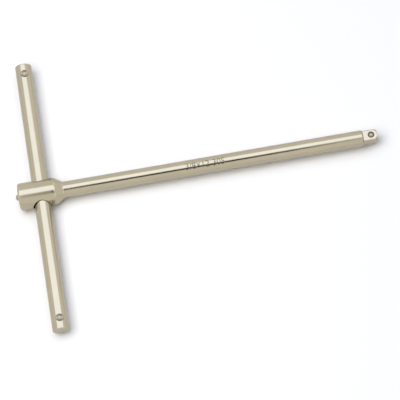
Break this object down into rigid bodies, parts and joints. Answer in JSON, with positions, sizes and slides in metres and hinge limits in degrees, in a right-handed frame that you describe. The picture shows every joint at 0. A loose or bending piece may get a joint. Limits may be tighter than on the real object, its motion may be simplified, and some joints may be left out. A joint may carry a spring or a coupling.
{
  "type": "sliding t-handle",
  "caption": "Long T-shaped turning handle: a round bar slides through the head of a straight shaft that ends in a male square drive with a sprung ball.",
  "frame": {"origin": "centre of the square drive's end face, on the shaft's axis", "axes": "+X along the shaft and out of the square drive, +Y along the sliding bar, +Z square to both, out of the face that holds the drive ball"},
  "size_m": [0.3067, 0.241, 0.0232],
  "materials": {
    "plated_steel": "bright nickel plate over ground steel, slightly warm, satin sheen",
    "ball_steel": "polished hardened ball",
    "spring_steel": "plain drawn wire",
    "plug_steel": "plated with the head, dull satin"
  },
  "bodies": {
    "tee": {"tee_shaft": "plated_steel", "head_plug": "plug_steel", "drive_ball_spring": "spring_steel", "head_ball_spring": "spring_steel"},
    "bar": {"slide_bar": "plated_steel", "bar_ball_spring_far": "spring_steel", "bar_ball_spring_near": "spring_steel"},
    "drive_ball": {"drive_ball": "ball_steel"},
    "head_ball": {"head_ball": "ball_steel"},
    "bar_ball_far": {"bar_ball_far": "ball_steel"},
    "bar_ball_near": {"bar_ball_near": "ball_steel"}
  },
  "joints": [
    {"name": "bar_slide", "type": "slide", "parent": "tee", "child": "bar", "axis": [0, 1, 0], "range_m": [-0.0979, 0.1027]},
    {"name": "drive_ball_press", "type": "slide", "parent": "tee", "child": "drive_ball", "axis": [0, 0, -1], "range_m": [0, 0.00075], "stiffness_N_per_m": 2000, "springref_m": -0.002, "deforming": ["drive_ball_spring"]},
    {"name": "head_ball_press", "type": "slide", "parent": "tee", "child": "head_ball", "axis": [-1, 0, 0], "range_m": [0, 0.0005], "stiffness_N_per_m": 3000, "springref_m": -0.002, "deforming": ["head_ball_spring"]},
    {"name": "bar_ball_far_press", "type": "slide", "parent": "bar", "child": "bar_ball_far", "axis": [-0.1305, 0, -0.9914], "range_m": [0, 0.00085], "stiffness_N_per_m": 2000, "springref_m": -0.002, "deforming": ["bar_ball_spring_far"]},
    {"name": "bar_ball_near_press", "type": "slide", "parent": "bar", "child": "bar_ball_near", "axis": [-0.1305, 0, -0.9914], "range_m": [0, 0.00085], "stiffness_N_per_m": 2000, "springref_m": -0.002, "deforming": ["bar_ball_spring_near"]}
  ]
}
